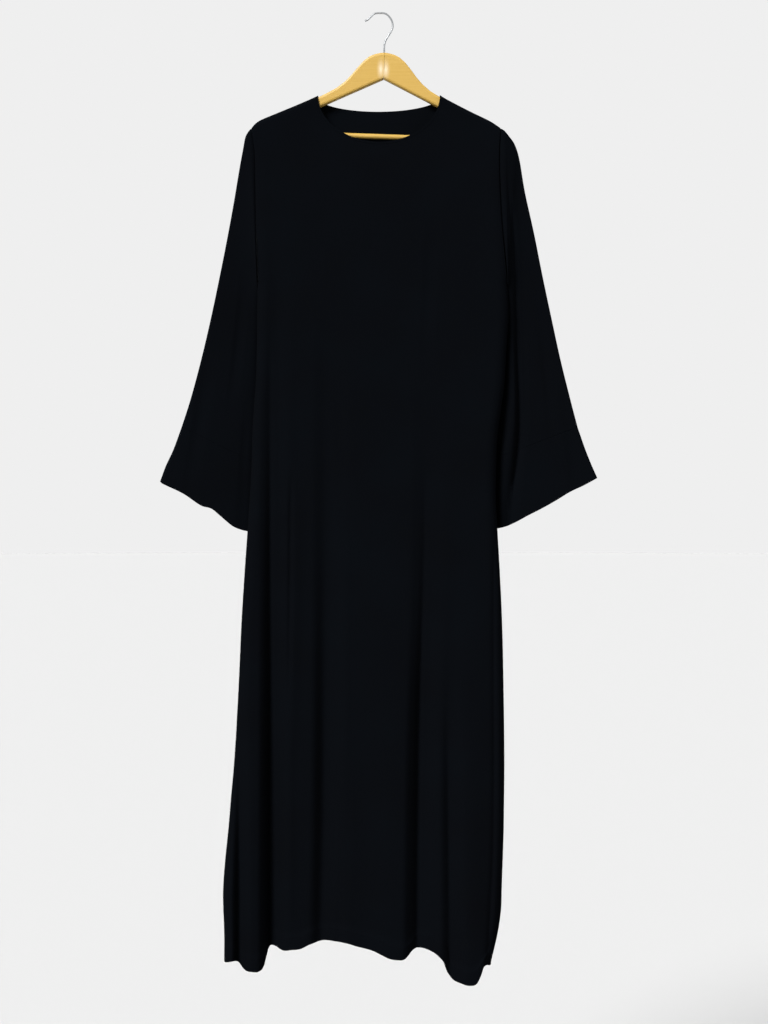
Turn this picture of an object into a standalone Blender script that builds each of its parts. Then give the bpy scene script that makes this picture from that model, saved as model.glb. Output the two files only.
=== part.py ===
"""Abaya cloak hanging on a wooden hanger.

A closed, ankle-long crepe cloak with a wide round neck, long flared sleeves with deep
cuff bands, and an A-line body that falls in soft vertical folds. It hangs nearly flat
from a two-arm wooden hanger with a trouser bar and a steel wire hook.

Frame: +Z up, the front faces -Y, the wearer's right is -X. The origin is the inner top
of the hook, where a rail or a peg carries it. Tables are in millimetres, and a drop is
the distance below the origin.
"""

import math
from collections import namedtuple

import bmesh
import bpy
from mathutils import Vector

MM = 0.001

# Cloth
CLOTH = 1.5
SEAM_GAP = 0.3
SLEEVE_GAP = 0.4

# Neck, an ellipse cut lower in front than at the back
NECK_CENTRE_X = -5.0
NECK_HALF_WIDTH = 104.0
FRONT_NECK_DEPTH = 77.0
BACK_NECK_DEPTH = 28.0
NECK_ANGLES = (2.4, 5.5, 10, 20, 33, 47, 61, 75)
NECK_POINT_LEAN = 45.0

# The roll of the cloth over the hanger, and the flat strips beside the seams
SHOULDER_HALF_DEPTH = 9.5
SHOULDER_ROLL = 9.0
SEAM_STRIP = 2.0
ARMHOLE_STRIP = 1.5
NECK_STRIP = 0.5
UNDERARM_DROP = 463.0
UNDERARM_ARCH = 60.0
UNDERARM_GAP = 2.4
SLEEVE_LEAST_DEPTH = 3.5

# Share of the body's width that turns back towards each side seam
SIDE_ROLL = 0.06

# Rows and columns of a body panel
SHOULDER_COLUMNS = 5
CHEST_ROWS = 5
SKIRT_ROWS = 15
SKIRT_FIRST_SHARE = 0.006

# Hanger
HANGER_CENTRE_X = 5.5
HANGER_CENTRE_DROP = 88.9
HANGER_TILT = math.radians(1.9)
BOARD_HALF = 6.5
BOARD_EDGE = 5.0
ARM_GAP = 0.15
CLOTH_ON_ARM = 2.5
BAR_LEVEL = -121.3
BAR_RADIUS = 4.6
BAR_HALF = 190.0
TENON_RADIUS = 3.5
TENON_HALF = 202.0
SOCKET_RADIUS = 3.85
SOCKET_END = 203.0
WIRE_RADIUS = 1.4
HOOK_BORE_RADIUS = 1.75
HOOK_END_DROP = 93.0
HOOK_BORE_END = 95.0

# Side edges of the body: armhole seam down to the underarm, then side seam
Side = namedtuple("Side", "drop right_x left_x")
SIDES = [
    Side(195.5, -221, 204),
    Side(238, -215, 202),
    Side(296, -214, 203),
    Side(363, -213, 207),
    Side(463, -211, 216),
    Side(518, -212, 218),
    Side(561, -212, 215),
    Side(629, -214, 211),
    Side(669, -217, 206),
    Side(720, -220, 199),
    Side(769, -221, 197),
    Side(821, -224, 196),
    Side(882, -228, 199),
    Side(934, -231, 201),
    Side(1036, -235, 204),
    Side(1146, -241, 206),
    Side(1272, -247, 207),
    Side(1342, -253, 207),
    Side(1395, -258, 207),
    Side(1447, -264, 207),
    Side(1498, -268, 207),
    Side(1530, -268, 205),
    Side(1570, -268, 198),
    Side(1620, -268, 188),
]

# How far the body stands before and behind the side seams
Depth = namedtuple("Depth", "drop front back")
DEPTHS = [
    Depth(139, 9.5, 9.5),
    Depth(200, 10, 10),
    Depth(300, 14, 11.5),
    Depth(460, 16, 12.5),
    Depth(800, 18, 13.5),
    Depth(1200, 23, 17),
    Depth(1620, 28, 22),
]

# Hem lines, along the width
Hem = namedtuple("Hem", "x drop")
FRONT_HEM = [
    Hem(-268, 1618),
    Hem(-247, 1614),
    Hem(-233, 1627),
    Hem(-213, 1630),
    Hem(-198, 1620),
    Hem(-190, 1592),
    Hem(-154, 1594),
    Hem(-124, 1585),
    Hem(-87, 1577),
    Hem(-44, 1588),
    Hem(-2, 1601),
    Hem(24, 1609),
    Hem(43, 1607),
    Hem(56, 1591),
    Hem(78, 1592),
    Hem(104, 1611),
    Hem(122, 1643),
    Hem(150, 1652),
    Hem(164, 1646),
    Hem(175, 1621),
    Hem(188, 1623),
]
BACK_HEM = [
    Hem(-268, 1618),
    Hem(-230, 1600),
    Hem(-180, 1583),
    Hem(-110, 1573),
    Hem(-60, 1568),
    Hem(0, 1578),
    Hem(50, 1580),
    Hem(110, 1592),
    Hem(150, 1610),
    Hem(188, 1623),
]

# Folds: a path down the cloth, with the depth of the trough (below zero, of the ridge)
Fold = namedtuple("Fold", "half_width path")
FoldPoint = namedtuple("FoldPoint", "drop x depth")
FRONT_FOLDS = [
    Fold(14, [FoldPoint(1150, -241, 0), FoldPoint(1400, -241, 8), FoldPoint(1620, -241, 12)]),
    Fold(22, [FoldPoint(600, -224, 0), FoldPoint(1100, -222, -3), FoldPoint(1620, -219, -7)]),
    Fold(26, [FoldPoint(450, -191, 0), FoldPoint(900, -191, 8), FoldPoint(1380, -191, 19),
              FoldPoint(1620, -190, 20)]),
    Fold(30, [FoldPoint(480, -107, 0), FoldPoint(900, -109, 6), FoldPoint(1280, -112, 11),
              FoldPoint(1600, -114, 7)]),
    Fold(60, [FoldPoint(900, 15, 0), FoldPoint(1350, 18, -4), FoldPoint(1620, 22, -7)]),
    Fold(26, [FoldPoint(620, 73, 0), FoldPoint(1001, 66, 9), FoldPoint(1250, 58, 17),
              FoldPoint(1620, 54, 16)]),
    Fold(18, [FoldPoint(1100, 111, 0), FoldPoint(1400, 114, 5), FoldPoint(1600, 117, 6)]),
    Fold(36, [FoldPoint(900, 150, 0), FoldPoint(1300, 150, -5), FoldPoint(1620, 150, -9)]),
]
BACK_FOLDS = [
    Fold(30, [FoldPoint(420, -150, 0), FoldPoint(950, -156, 5), FoldPoint(1580, -166, 11)]),
    Fold(34, [FoldPoint(380, -60, 0), FoldPoint(900, -62, 6), FoldPoint(1570, -66, 12)]),
    Fold(48, [FoldPoint(800, -10, 0), FoldPoint(1300, -12, -4), FoldPoint(1570, -14, -6)]),
    Fold(30, [FoldPoint(500, 42, 0), FoldPoint(1000, 44, 6), FoldPoint(1580, 48, 13)]),
    Fold(28, [FoldPoint(420, 120, 0), FoldPoint(900, 122, 5), FoldPoint(1600, 128, 10)]),
]
SLEEVE_FOLDS = {
    "right": [],
    "left": [
        Fold(14, [FoldPoint(330, 226, 0), FoldPoint(488, 237, 4), FoldPoint(684, 241, 6),
                  FoldPoint(774, 232, 5), FoldPoint(860, 221, 3)]),
        Fold(16, [FoldPoint(330, 212, 0), FoldPoint(488, 222, -4), FoldPoint(684, 226, -5),
                  FoldPoint(774, 215, -4), FoldPoint(860, 205, -2)]),
    ],
}

# Sleeve rings: the outer fold, the inner fold beside the body, and how far the flat
# tube is set back behind the body
Ring = namedtuple("Ring", "outer_x outer_drop inner_x inner_drop centre_y")
SLEEVE_RINGS = {
    "right": [
        Ring(-227, 202, -212, 466, 0.3),
        Ring(-232, 211, -212.3, 470, 1),
        Ring(-236, 230, -212.6, 478, 2.5),
        Ring(-243, 266, -213, 493, 6),
        Ring(-253, 323, -212, 519, 11),
        Ring(-266, 391, -210, 553, 15.5),
        Ring(-280, 472, -208, 594, 19),
        Ring(-293, 540, -208, 638, 20),
        Ring(-311, 602, -209, 683, 20),
        Ring(-327, 659, -211, 728, 20),
        Ring(-342, 705, -213, 769, 20),
    ],
    "left": [
        Ring(211, 200, 217, 466, 0.3),
        Ring(219, 209, 217.6, 470, 1),
        Ring(229, 223, 218.2, 478, 2.5),
        Ring(236, 248, 218.8, 493, 6),
        Ring(247, 303, 218, 519, 11),
        Ring(261, 371, 214, 553, 15.5),
        Ring(277, 447, 209, 594, 19),
        Ring(292, 525, 204, 638, 20),
        Ring(306, 591, 198, 683, 20),
        Ring(323, 653, 192, 725, 20),
        Ring(339, 706, 189, 762, 20),
    ],
}
CUFF_RINGS = {
    "right": [
        Ring(-357, 744, -214, 809, 20),
        Ring(-370, 772, -216, 848, 20),
        Ring(-380, 799, -218, 888, 20),
    ],
    "left": [
        Ring(350, 740, 188, 802, 20),
        Ring(361, 768, 188, 841, 20),
        Ring(372, 793, 189, 877, 20),
    ],
}

# One hanger arm, from the centre line outwards: heights about the hanger's centre
Edge = namedtuple("Edge", "along height")
ARM_TOP = [
    Edge(0, 22.5),
    Edge(13, 20.5),
    Edge(26, 15),
    Edge(38, 4.5),
    Edge(47, -6.5),
    Edge(56, -18),
    Edge(66, -29),
    Edge(80, -40.5),
    Edge(100, -52),
    Edge(125, -64.5),
    Edge(155, -78.5),
    Edge(185, -92),
    Edge(196, -98.5),
    Edge(203, -105),
    Edge(208, -112),
    Edge(210, -117),
]
ARM_BOTTOM = [
    Edge(0, -23.6),
    Edge(106, -74.5),
    Edge(150, -94.5),
    Edge(172, -105.5),
    Edge(190.5, -117),
    Edge(192, -129),
    Edge(198, -130.5),
    Edge(203, -130),
    Edge(208, -127),
    Edge(210, -123),
]
ARM_SECTIONS = (ARM_GAP, 8, 17, 26, 36, 46, 56, 66, 80, 100, 125, 155, 178, 190.5, 192, 198,
                203, 208, 210)

# Centre line of the hook's wire, from its tip to the wood
Wire = namedtuple("Wire", "x drop")
HOOK_WIRE = [
    Wire(-27.4, 12),
    Wire(-21.7, 9.2),
    Wire(-11.8, -0.1),
    Wire(-1, -1.4),
    Wire(7, -0.6),
    Wire(13.4, 4),
    Wire(18.4, 11.5),
    Wire(20.1, 19.3),
    Wire(19, 26),
    Wire(14.7, 34.2),
    Wire(9.2, 43),
    Wire(6.4, 50),
    Wire(5.5, 57),
    Wire(5.5, 66),
]

# Finish of each piece: colour, roughness and metallic value
Finish = namedtuple("Finish", "colour roughness metallic")
FINISHES = {
    "black_crepe": Finish((0.0040, 0.0048, 0.0062), 0.85, 0.0),
    "varnished_wood": Finish((0.72, 0.45, 0.10), 0.35, 0.0),
    "steel_wire": Finish((0.55, 0.55, 0.56), 0.28, 1.0),
}


def between(first, second, share):
    """Value at a share of the way from the first to the second."""
    return first + (second - first) * share


def through(points, at):
    """Height of the smooth curve through the points (place, height) at a place."""
    if at <= points[0][0]:
        return points[0][1]
    if at >= points[-1][0]:
        return points[-1][1]
    last = len(points) - 1
    slopes = []
    for index in range(last + 1):
        before = points[max(index - 1, 0)]
        after = points[min(index + 1, last)]
        slopes.append((after[1] - before[1]) / (after[0] - before[0]))
    index = max(i for i in range(last) if points[i][0] <= at)
    start, end = points[index], points[index + 1]
    span = end[0] - start[0]
    t = (at - start[0]) / span
    return (
        (2 * t**3 - 3 * t**2 + 1) * start[1]
        + (t**3 - 2 * t**2 + t) * span * slopes[index]
        + (3 * t**2 - 2 * t**3) * end[1]
        + (t**3 - t**2) * span * slopes[index + 1]
    )


def column_of(rows, name, at):
    """Smooth value of a table's named column, read against its first column."""
    return through([(row[0], getattr(row, name)) for row in rows], at)


def hanger_point(along, height):
    """World x and drop of a point in the hanger's own tilted axes."""
    turn_x = along * math.cos(HANGER_TILT) + height * math.sin(HANGER_TILT)
    turn_up = height * math.cos(HANGER_TILT) - along * math.sin(HANGER_TILT)
    return HANGER_CENTRE_X + turn_x, HANGER_CENTRE_DROP - turn_up


def shoulder_line():
    """Points of the cloth's shoulder line: on the arms, and past their ends."""
    on_arms = [edge for edge in ARM_TOP if 80 <= edge.along <= 185]
    points = [(SIDES[0].right_x, SIDES[0].drop), (-215, 188.5), (-206, 182.3)]
    for side, edges in ((-1, reversed(on_arms)), (1, on_arms)):
        for edge in edges:
            x, drop = hanger_point(side * edge.along, edge.height)
            points.append((x, drop - CLOTH_ON_ARM))
    points.append((SIDES[0].left_x, SIDES[0].drop))
    return points


SHOULDER_LINE = shoulder_line()


def ridge_drop(x):
    """Drop of the line where the cloth is highest over the hanger, also across the neck."""
    return through(SHOULDER_LINE, x)


def top_edge(x, neck_depth):
    """Drop of a panel's upper edge: the neck's ellipse, and the shoulders beside it."""
    from_centre = (x - NECK_CENTRE_X) / NECK_HALF_WIDTH
    if abs(from_centre) >= 1:
        return ridge_drop(x)
    right = ridge_drop(NECK_CENTRE_X - NECK_HALF_WIDTH)
    left = ridge_drop(NECK_CENTRE_X + NECK_HALF_WIDTH)
    return between(right, left, (from_centre + 1) / 2) + neck_depth * math.sqrt(1 - from_centre**2)


def roll(depth_below):
    """Half depth of the cloth where it rolls over the hanger's top edge."""
    left = 1 - min(max(depth_below, 0) / SHOULDER_ROLL, 1)
    return SEAM_STRIP + (SHOULDER_HALF_DEPTH - SEAM_STRIP) * math.sqrt(1 - left**2)


def fold_depth(folds, x, drop):
    """How far all the folds move the cloth inwards at a point."""
    moved = 0.0
    for fold in folds:
        off = (x - column_of(fold.path, "x", drop)) / fold.half_width
        if abs(off) < 1:
            moved += column_of(fold.path, "depth", drop) * 0.5 * (1 + math.cos(math.pi * off))
    return moved


Step = namedtuple("Step", "kind amount depth")


def armhole_steps():
    """Rows from the shoulder to the underarm, with the armhole's half depth at each.

    The first rows lie a distance below the shoulder, the next at a share of the way down,
    and the last a distance above the underarm.
    """
    steps = [Step("top", 0.0, 0.0), Step("top", 0.0, SEAM_STRIP)]
    for angle in (30, 60, 90):
        down = SHOULDER_ROLL * (1 - math.cos(math.radians(angle)))
        steps.append(Step("top", down, roll(down)))
    for index in range(1, CHEST_ROWS):
        steps.append(Step("middle", index / CHEST_ROWS, SHOULDER_HALF_DEPTH))
    for angle in (90, 60, 30):
        up = UNDERARM_ARCH * (1 - math.cos(math.radians(angle)))
        steps.append(Step("bottom", up, SHOULDER_HALF_DEPTH * math.sin(math.radians(angle))))
    steps.append(Step("bottom", 0.0, 0.0))
    return steps


ARMHOLE = armhole_steps()


def step_drop(step, top):
    """Drop of an armhole row, below a given point of the upper edge."""
    if step.kind == "top":
        return top + step.amount
    if step.kind == "bottom":
        return UNDERARM_DROP - step.amount
    return between(top + SHOULDER_ROLL, UNDERARM_DROP - UNDERARM_ARCH, step.amount)


Column = namedtuple("Column", "top_x lean even_share beside_seam")


def panel_columns():
    """Columns of a panel: place on the upper edge, lean there, and share lower down.

    A column starts straight down at the shoulder. Beside the neck it leans away from the
    neck's edge, so that the cloth's grid stays open round the corner.
    """
    right_x, left_x = SIDES[0].right_x, SIDES[0].left_x
    roll_in = [SIDE_ROLL * (1 - math.cos(math.radians(angle))) for angle in (30, 60, 90)]
    starts = [0.0, ARMHOLE_STRIP / (left_x - right_x), *roll_in]
    neck = []
    for angle in (0, *NECK_ANGLES, 90):
        place = math.radians(angle)
        neck.append((math.cos(place), NECK_POINT_LEAN * math.cos(place)))
    neck += [(-cosine, -lean) for cosine, lean in reversed(neck[:-1])]
    first_x = NECK_CENTRE_X - NECK_HALF_WIDTH
    last_x = NECK_CENTRE_X + NECK_HALF_WIDTH
    turn = (left_x - right_x) * SIDE_ROLL
    steps = [step / SHOULDER_COLUMNS for step in range(1, SHOULDER_COLUMNS)]
    middle = [(between(right_x + turn, first_x, step), 0.0) for step in steps]
    middle += [(NECK_CENTRE_X - NECK_HALF_WIDTH * cosine, lean) for cosine, lean in neck]
    middle += [(between(last_x, left_x - turn, step), 0.0) for step in steps]

    columns = []
    for number, share in enumerate(starts):
        even = 0.0 if number == 1 else share
        columns.append(Column(between(right_x, left_x, share), 0.0, even, number == 1))
    last = len(middle) + 1
    for number, (x, lean) in enumerate(middle):
        even = between(SIDE_ROLL, 1 - SIDE_ROLL, (number + 1) / last)
        columns.append(Column(x, lean, even, False))
    for number, share in reversed(list(enumerate(starts))):
        even = 1.0 if number == 1 else 1 - share
        columns.append(Column(between(left_x, right_x, share), 0.0, even, number == 1))
    return columns


COLUMNS = panel_columns()


def side_round(share):
    """Rounding of the cloth towards a side seam: 0 at the seam and 1 past the turn."""
    inward = min(share, 1 - share) / SIDE_ROLL
    return math.sqrt(1 - (1 - min(max(inward, 0), 1))**2)


def grid_place(column, number, neck_depth, hem):
    """X and drop of a panel's point: a column of COLUMNS and the number of a row."""
    top = top_edge(column.top_x, neck_depth)
    lean = math.radians(column.lean)
    if number >= len(ARMHOLE):
        end_x = between(SIDES[-1].right_x, SIDES[-1].left_x, column.even_share)
        share = max((number - len(ARMHOLE)) / SKIRT_ROWS, SKIRT_FIRST_SHARE)
        drop = between(UNDERARM_DROP, column_of(hem, "drop", end_x), share)
        return side_place(column.even_share, drop), drop
    step = ARMHOLE[number]
    if step.kind == "top":
        along = below_edge(column, number)
        drop = top + math.cos(lean) * along
        return along_side(column, drop) - math.sin(lean) * along, drop
    base = top + math.cos(lean) * SHOULDER_ROLL
    base_x = along_side(column, base) - math.sin(lean) * SHOULDER_ROLL
    drop = step_drop(step, base - SHOULDER_ROLL)
    if column.beside_seam and number < len(ARMHOLE) - 1:
        return along_side(column, drop), drop
    spread = (drop - base) / (UNDERARM_DROP - base)
    shift = base_x - side_place(column.even_share, base)
    return side_place(column.even_share, drop) + shift * (1 - spread), drop


def below_edge(column, number):
    """Distance of a top row's point from the upper edge, along its column."""
    return NECK_STRIP if number == 1 and in_neck(column.top_x) else ARMHOLE[number].amount


def roll_share(column, number, neck_depth):
    """Share of its full depth that a row's point has, by the roll over the hanger."""
    if number >= len(ARMHOLE) or ARMHOLE[number].kind != "top":
        return 1.0
    start = top_edge(column.top_x, neck_depth) - ridge_drop(column.top_x)
    return roll(start + below_edge(column, number)) / SHOULDER_HALF_DEPTH


def along_side(column, drop):
    """X of a column that keeps its share of the width from the upper edge."""
    top = SIDES[0]
    return side_place((column.top_x - top.right_x) / (top.left_x - top.right_x), drop)


def in_neck(x):
    """Whether a place on the upper edge is on the neck's curve."""
    return abs(x - NECK_CENTRE_X) < NECK_HALF_WIDTH - 0.001


def side_place(share, drop):
    """X at a share of the body's width."""
    return between(column_of(SIDES, "right_x", drop), column_of(SIDES, "left_x", drop), share)


def panel_points(facing, neck_depth, hem, folds):
    """Rows of outer points of a body panel; facing is -1 in front and 1 behind."""
    depth_name = "front" if facing < 0 else "back"
    rows = []
    for number in range(len(ARMHOLE) + SKIRT_ROWS + 1):
        edge_depth = ARMHOLE[number].depth if number < len(ARMHOLE) else 0.0
        gap = UNDERARM_GAP if number == len(ARMHOLE) - 1 else SEAM_GAP
        row = []
        for index, column in enumerate(COLUMNS):
            x, drop = grid_place(column, number, neck_depth, hem)
            right_x, left_x = side_place(0, drop), side_place(1, drop)
            across = (x - right_x) / (left_x - right_x)
            reach = column_of(DEPTHS, depth_name, drop) - fold_depth(folds, x, drop)
            reach *= roll_share(column, number, neck_depth)
            at_side = index in (0, len(COLUMNS) - 1)
            edge = max(edge_depth, 0.0 if at_side else SEAM_STRIP)
            depth = between(edge, reach, side_round(across))
            if number == 0 and not in_neck(column.top_x):
                depth = 0.0
            row.append(Vector((x, facing * max(depth, gap / 2), -drop)) * MM)
        rows.append(row)
    return rows


def close_ring(half):
    """Whole ring from its half, x and depth and drop: down the front and up the back."""
    front = [(x, -depth, drop) for x, depth, drop in half]
    back = [(x, depth, drop) for x, depth, drop in reversed(half[1:-1])]
    return front + back


RING_STEPS = [ARMHOLE[0], *ARMHOLE[2:]]


def armhole_ring(side):
    """Outer points of a sleeve's first ring, on the body's armhole edge."""
    outward = -1 if side == "right" else 1
    half = []
    for step in RING_STEPS:
        drop = step_drop(step, SIDES[0].drop)
        x = column_of(SIDES, side + "_x", drop) + outward * SLEEVE_GAP
        half.append((x, step.depth, drop))
    return close_ring(half)


def sleeve_ring(ring, folds):
    """Outer points of a flat ring between a sleeve's outer and inner fold."""
    half = []
    for step in RING_STEPS:
        drop = step_drop(step, SIDES[0].drop)
        part = (drop - SIDES[0].drop) / (UNDERARM_DROP - SIDES[0].drop)
        x = between(ring.outer_x, ring.inner_x, part)
        half.append((x, step.depth, between(ring.outer_drop, ring.inner_drop, part)))
    points = []
    for x, y, drop in close_ring(half):
        if y < -SLEEVE_LEAST_DEPTH:
            y = min(y + fold_depth(folds, x, drop), -SLEEVE_LEAST_DEPTH)
        points.append((x, y + ring.centre_y, drop))
    return points


def tube_points(side, rings, first=None):
    """Rows of outer points of a sleeve or a cuff."""
    folds = SLEEVE_FOLDS[side]
    rows = [first] if first else []
    rows += [sleeve_ring(ring, folds) for ring in rings]
    return [[Vector((x, y, -drop)) * MM for x, y, drop in row] for row in rows]


def moved_along(ring, following, distance):
    """The ring moved towards the next one, point by point."""
    moved = []
    for here, there in zip(ring, following):
        step = (there - here).normalized() * distance * MM
        moved.append(here + step)
    return moved


def material(name):
    """Principled material of one finish."""
    finish = FINISHES[name]
    made = bpy.data.materials.get(name)
    if made:
        return made
    made = bpy.data.materials.new(name)
    made.use_nodes = True
    shader = made.node_tree.nodes["Principled BSDF"]
    shader.inputs["Base Color"].default_value = (*finish.colour, 1.0)
    shader.inputs["Roughness"].default_value = finish.roughness
    shader.inputs["Metallic"].default_value = finish.metallic
    return made


def add_object(name, data, finish, collection):
    """Object of a mesh or curve, with its finish."""
    made = bpy.data.objects.new(name, data)
    collection.objects.link(made)
    data.materials.append(material(finish))
    return made


def grid_mesh(name, rows, closed, flipped):
    """Open surface over rows of points, closed round each row for a tube."""
    mesh = bpy.data.meshes.new(name)
    built = bmesh.new()
    grid = [[built.verts.new(point) for point in row] for row in rows]
    width = len(grid[0])
    for upper, lower in zip(grid, grid[1:]):
        for column in range(width if closed else width - 1):
            after = (column + 1) % width
            corners = [upper[column], lower[column], lower[after], upper[after]]
            built.faces.new(reversed(corners) if flipped else corners)
    built.to_mesh(mesh)
    built.free()
    mesh.shade_smooth()
    return mesh


def add_cloth(name, rows, collection, closed=False, flipped=False):
    """Cloth piece: its outer surface, thickened inwards."""
    mesh = grid_mesh(name, rows, closed, flipped)
    piece = add_object(name, mesh, "black_crepe", collection)
    wall = piece.modifiers.new("wall", "SOLIDIFY")
    wall.thickness = CLOTH * MM
    wall.offset = -1.0
    wall.use_rim = True
    return piece


def rounded_section(top, bottom):
    """Points (y, height) round a board's section with rounded edges."""
    radius = min(BOARD_EDGE, (top - bottom) / 2 - 0.5)
    corners = ((1, top, 0), (-1, top, 90), (-1, bottom, 180), (1, bottom, 270))
    points = []
    for side, level, start in corners:
        centre_y = side * (BOARD_HALF - radius)
        centre_up = level - radius if level == top else level + radius
        for step in range(4):
            angle = math.radians(start + 30 * step)
            points.append((centre_y + radius * math.cos(angle), centre_up + radius * math.sin(angle)))
    return points


def add_arm(name, side, collection):
    """One hanger arm, lofted through upright sections from the centre to its end."""
    built = bmesh.new()
    loops = []
    for along in ARM_SECTIONS:
        top = column_of(ARM_TOP, "height", along)
        bottom = arm_bottom(along)
        loop = []
        for y, height in rounded_section(top, bottom):
            x, drop = hanger_point(side * along, height)
            loop.append(built.verts.new(Vector((x, y, -drop)) * MM))
        loops.append(loop)
    for inner, outer in zip(loops, loops[1:]):
        for index in range(len(inner)):
            after = (index + 1) % len(inner)
            built.faces.new((inner[index], inner[after], outer[after], outer[index]))
    built.faces.new(reversed(loops[0]))
    built.faces.new(loops[-1])
    bmesh.ops.recalc_face_normals(built, faces=built.faces)
    mesh = bpy.data.meshes.new(name)
    built.to_mesh(mesh)
    built.free()
    mesh.shade_smooth()
    mesh.set_sharp_from_angle(angle=math.radians(50))
    return add_object(name, mesh, "varnished_wood", collection)


def arm_bottom(along):
    """Height of an arm's lower edge: straight runs between its points."""
    for start, end in zip(ARM_BOTTOM, ARM_BOTTOM[1:]):
        if along <= end.along:
            share = (along - start.along) / (end.along - start.along)
            return between(start.height, end.height, share)
    return ARM_BOTTOM[-1].height


def add_cutter(name, radius, start, end, collection):
    """Round cutter between two points, each an x and a drop."""
    first = Vector((start[0], 0, -start[1])) * MM
    second = Vector((end[0], 0, -end[1])) * MM
    axis = second - first
    built = bmesh.new()
    bmesh.ops.create_cone(built, cap_ends=True, segments=16, radius1=radius * MM,
                          radius2=radius * MM, depth=axis.length)
    mesh = bpy.data.meshes.new(name)
    built.to_mesh(mesh)
    built.free()
    cutter = bpy.data.objects.new(name, mesh)
    collection.objects.link(cutter)
    cutter.location = (first + second) / 2
    cutter.rotation_euler = axis.to_track_quat("Z", "Y").to_euler()
    cutter.hide_render = True
    cutter.display_type = "WIRE"
    return cutter


def cut(piece, cutter):
    """Take the cutter's shape out of the piece."""
    change = piece.modifiers.new(cutter.name, "BOOLEAN")
    change.operation = "DIFFERENCE"
    change.object = cutter


def add_bar(collection):
    """Trouser bar, turned with a thinner tenon at each end."""
    profile = [
        (0.0, TENON_HALF),
        (TENON_RADIUS, TENON_HALF),
        (TENON_RADIUS, BAR_HALF),
        (BAR_RADIUS, BAR_HALF),
        (BAR_RADIUS, -BAR_HALF),
        (TENON_RADIUS, -BAR_HALF),
        (TENON_RADIUS, -TENON_HALF),
        (0.0, -TENON_HALF),
    ]
    mesh = bpy.data.meshes.new("hanger_bar")
    points = [Vector((radius, 0, along)) * MM for radius, along in profile]
    edges = [(index, index + 1) for index in range(len(points) - 1)]
    mesh.from_pydata(points, edges, [])
    bar = add_object("hanger_bar", mesh, "varnished_wood", collection)
    turn = bar.modifiers.new("turned", "SCREW")
    turn.steps = 16
    turn.render_steps = 16
    turn.use_merge_vertices = True
    turn.merge_threshold = 0.00001
    x, drop = hanger_point(0, BAR_LEVEL)
    bar.location = Vector((x, 0, -drop)) * MM
    bar.rotation_euler = (0, math.radians(90) + HANGER_TILT, 0)
    return bar


def add_hook(collection):
    """Wire hook: one smooth bend, and a straight shank down into the wood."""
    curve = bpy.data.curves.new("hanger_hook", "CURVE")
    curve.dimensions = "3D"
    curve.bevel_depth = WIRE_RADIUS * MM
    curve.bevel_resolution = 2
    curve.use_fill_caps = True
    count = len(HOOK_WIRE)
    x_run = [(index, point.x) for index, point in enumerate(HOOK_WIRE)]
    drop_run = [(index, point.drop) for index, point in enumerate(HOOK_WIRE)]
    places = [index / 2 for index in range(2 * count - 1)]
    points = [(through(x_run, place), through(drop_run, place)) for place in places]
    points.append((HOOK_WIRE[-1].x, HOOK_END_DROP))
    spline = curve.splines.new("POLY")
    spline.points.add(len(points) - 1)
    for point, (x, drop) in zip(spline.points, points):
        point.co = (x * MM, 0, -drop * MM, 1)
    return add_object("hanger_hook", curve, "steel_wire", collection)


def add_sleeve(side, collection):
    """One sleeve and the cuff band sewn to its end."""
    flipped = side == "left"
    first = armhole_ring(side)
    sleeve_rows = tube_points(side, SLEEVE_RINGS[side], first)
    add_cloth("sleeve_" + side, sleeve_rows, collection, closed=True, flipped=flipped)
    cuff_rows = tube_points(side, CUFF_RINGS[side])
    cuff_rows.insert(0, moved_along(sleeve_rows[-1], cuff_rows[0], SEAM_GAP))
    add_cloth("cuff_" + side, cuff_rows, collection, closed=True, flipped=flipped)


def main():
    """Build the cloak and its hanger."""
    for old in list(bpy.data.objects):
        bpy.data.objects.remove(old, do_unlink=True)
    parts = bpy.data.collections.new("abaya_cloak_on_hanger")
    cutters = bpy.data.collections.new("cutters")
    bpy.context.scene.collection.children.link(parts)
    bpy.context.scene.collection.children.link(cutters)

    front = panel_points(-1, FRONT_NECK_DEPTH, FRONT_HEM, FRONT_FOLDS)
    back = panel_points(1, BACK_NECK_DEPTH, BACK_HEM, BACK_FOLDS)
    add_cloth("front_panel", front, parts)
    add_cloth("back_panel", back, parts, flipped=True)
    for side in ("right", "left"):
        add_sleeve(side, parts)

    bore = add_cutter("hook_bore", HOOK_BORE_RADIUS, (HOOK_WIRE[-1].x, 50),
                      (HOOK_WIRE[-1].x, HOOK_BORE_END), cutters)
    for name, side in (("right", -1), ("left", 1)):
        arm = add_arm("hanger_arm_" + name, side, parts)
        socket = add_cutter("bar_socket_" + name, SOCKET_RADIUS,
                            hanger_point(side * 170, BAR_LEVEL),
                            hanger_point(side * SOCKET_END, BAR_LEVEL), cutters)
        cut(arm, bore)
        cut(arm, socket)
    add_bar(parts)
    add_hook(parts)


main()
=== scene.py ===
"""Finished look of an abaya cloak hanging on a wooden hanger.

The cloth is black crepe: a plain weave of hard-twisted yarn, matt, with a faint pebbled
grain. The hanger is varnished beech with a bright plated wire hook. Every piece stands in
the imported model's frame: +Z up, the front faces -Y, the origin at the hook's inner top.
Tables are in millimetres, and a drop is the distance below the origin.
"""

import math
from collections import namedtuple

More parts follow.
